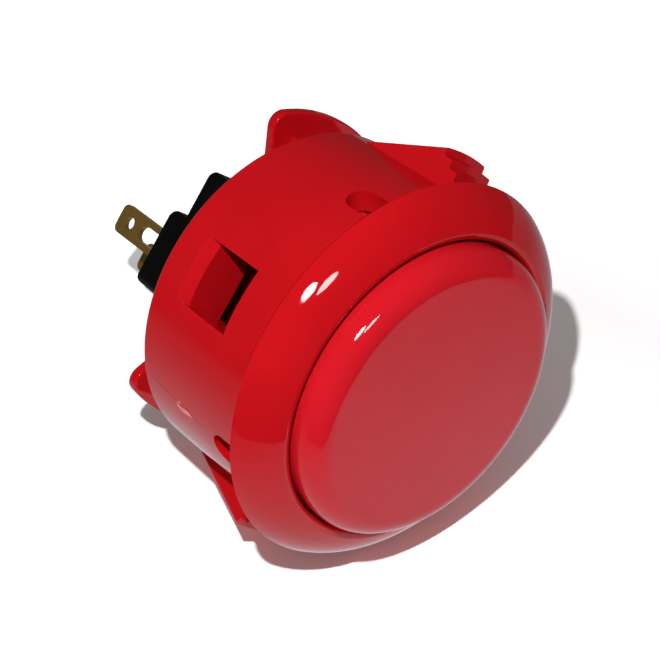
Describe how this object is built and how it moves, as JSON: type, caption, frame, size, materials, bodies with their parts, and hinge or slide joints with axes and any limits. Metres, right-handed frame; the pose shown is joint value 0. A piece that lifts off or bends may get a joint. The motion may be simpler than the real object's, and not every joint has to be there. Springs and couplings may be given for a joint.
{
  "type": "arcade push button",
  "caption": "Round snap-in push button with a domed bezel, a sprung plunger, stepped panel clips and a rear switch with blade terminals.",
  "frame": {"origin": "centre of the flange underside, the plane that the panel lies in", "axes": "+Z along the plunger towards the player, +X and -X through the snap clips, +Y and -Y through the side windows"},
  "size_m": [0.0356, 0.0334, 0.0398],
  "materials": {
    "red_plastic": "moulded, glossy",
    "black_plastic": "moulded, satin",
    "contact_brass": "stamped, satin",
    "contact_metal": "silver contact",
    "spring_steel": "drawn wire"
  },
  "bodies": {
    "housing": {"housing": "red_plastic", "switch_cover": "black_plastic", "switch_base": "black_plastic", "return_spring": "spring_steel", "fixed_contact": "contact_metal", "common_terminal": "contact_brass", "open_terminal": "contact_brass"},
    "plunger": {"plunger": "red_plastic"},
    "actuator": {"actuator": "black_plastic"},
    "blade": {"contact_blade": "contact_brass", "moving_contact": "contact_metal"}
  },
  "joints": [
    {"name": "plunger_press", "type": "slide", "parent": "housing", "child": "plunger", "axis": [0, 0, -1], "range_m": [0, 0.0015], "stiffness_N_per_m": 220, "springref_m": -0.0023, "deforming": ["return_spring"]},
    {"name": "actuator_press", "type": "slide", "parent": "housing", "child": "actuator", "axis": [0, 0, -1], "range_m": [0, 0.0015]},
    {"name": "blade_swing", "type": "hinge", "parent": "housing", "child": "blade", "pos_m": [-0.0041, 0, -0.017], "axis": [0, 1, 0], "range_deg": [0, 6.7]}
  ],
  "couplings": [
    {"joint": "actuator_press", "follows": "plunger_press", "ratio": 1},
    {"joint": "blade_swing", "follows": "plunger_press", "rad_per_m": 77.333}
  ]
}
